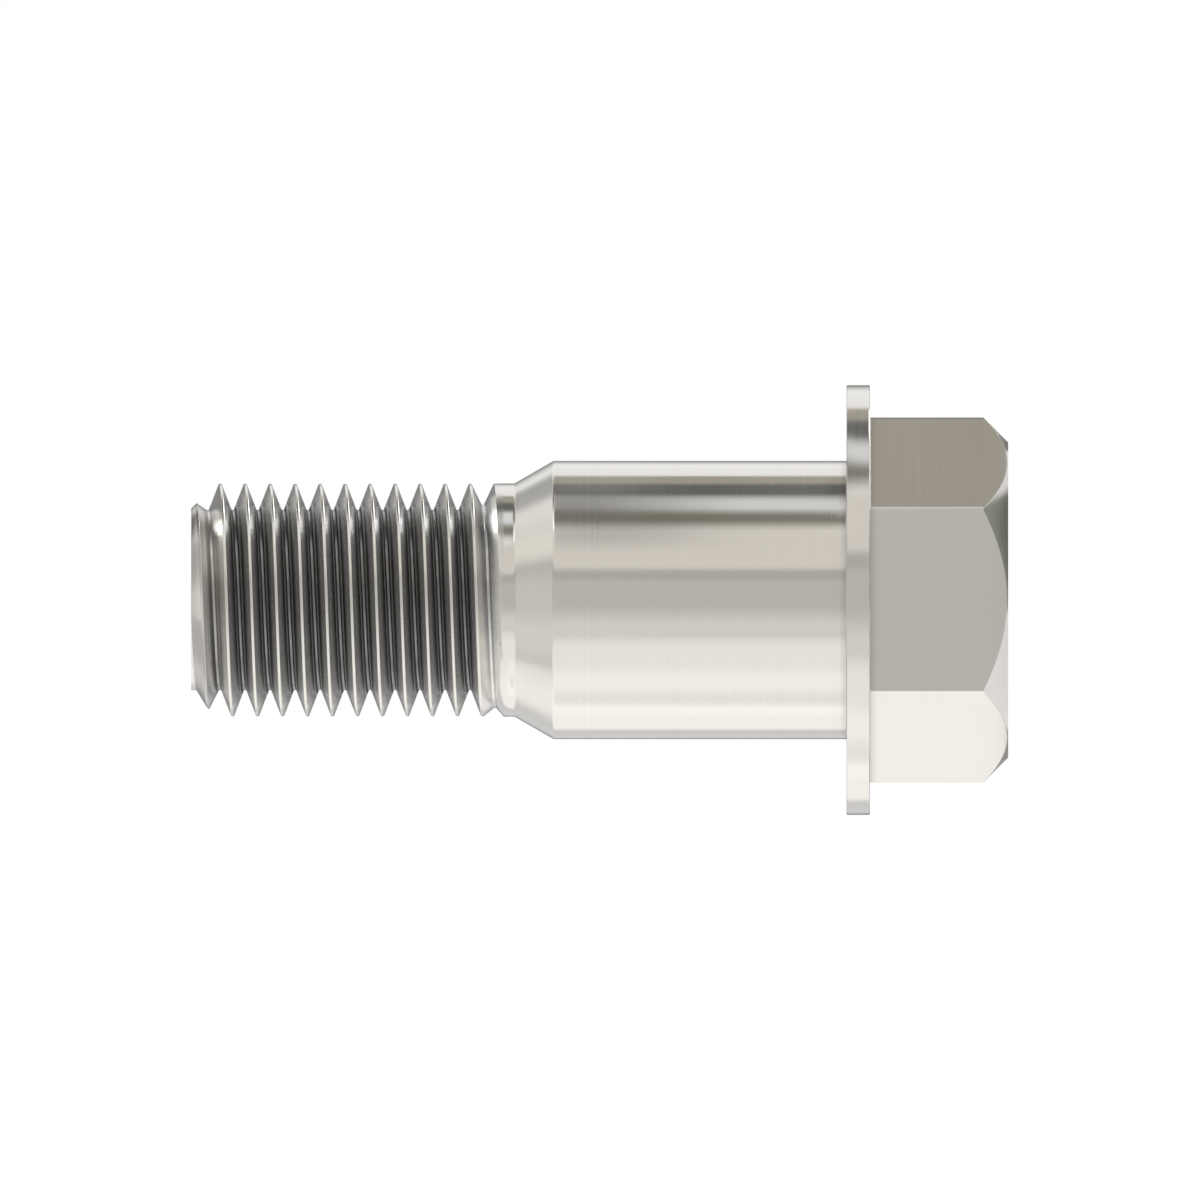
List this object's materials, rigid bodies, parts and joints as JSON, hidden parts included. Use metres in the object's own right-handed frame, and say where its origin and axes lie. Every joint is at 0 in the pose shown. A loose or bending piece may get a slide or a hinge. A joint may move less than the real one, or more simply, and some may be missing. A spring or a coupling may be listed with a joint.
{
  "type": "flanged hex head screw",
  "caption": "Flanged hex head screw: a hexagon on a thin round flange, a plain fitted shoulder, a short taper and a fine right-hand thread with a chamfered tip.",
  "frame": {"origin": "centre of the flange's bearing face, on the screw's axis", "axes": "+Z along the axis from the flange to the threaded tip, so the screw stands on its head; the hexagon has corners on +X and -X and flats on +Y and -Y"},
  "size_m": [0.0258, 0.0258, 0.049],
  "materials": {
    "steel": "bare turned steel, satin, clean and unworn"
  },
  "bodies": {
    "root": {"flanged_screw": "steel"}
  },
  "joints": []
}
